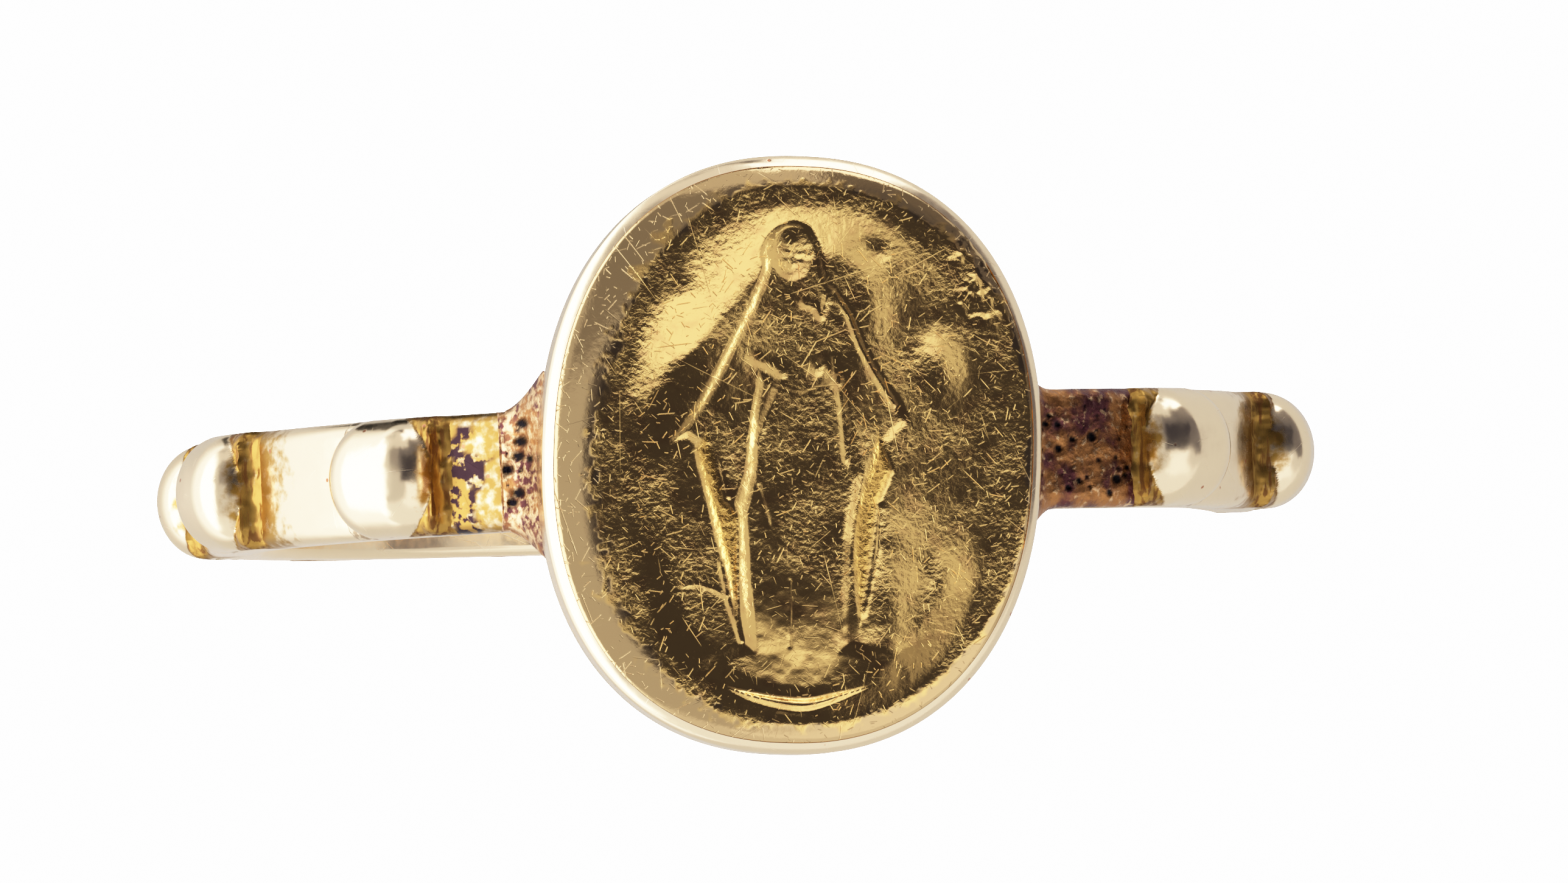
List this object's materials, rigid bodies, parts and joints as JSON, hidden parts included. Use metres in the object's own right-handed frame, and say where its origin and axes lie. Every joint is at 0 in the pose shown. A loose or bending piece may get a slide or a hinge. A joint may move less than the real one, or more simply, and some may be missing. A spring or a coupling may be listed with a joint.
{
  "type": "signet ring",
  "caption": "Gold signet-style finger ring with an oval bezel showing a worn standing robed figure, on a flat band set with domed knobs.",
  "frame": {"origin": "centre of the finger hole, half way across the band", "axes": "+Y along the finger towards the figure's head, +Z out through the bezel, +X to the figure's right-hand side of the picture"},
  "size_m": [0.0218, 0.011, 0.0225],
  "materials": {
    "band_gold": "polished yellow gold with fine hairline scratches and darker gold in the hollows",
    "bead_gold": "brightly polished yellow gold with small pits and grime at the foot",
    "bezel_gold": "polished rounded gold wall, softly worn",
    "medal_gold": "worn struck gold, heavily scratched on the flats, softer in the hollows",
    "solder": "oxidised reddish brown solder, pitted and porous"
  },
  "bodies": {
    "root": {"shank": "band_gold", "decade_bead_01": "bead_gold", "decade_bead_02": "bead_gold", "decade_bead_03": "bead_gold", "decade_bead_04": "bead_gold", "decade_bead_05": "bead_gold", "decade_bead_06": "bead_gold", "decade_bead_07": "bead_gold", "decade_bead_08": "bead_gold", "decade_bead_09": "bead_gold", "decade_bead_10": "bead_gold", "bezel_collet": "bezel_gold", "medal": "medal_gold", "shoulder_solder_left": "solder", "shoulder_solder_right": "solder"}
  },
  "joints": []
}
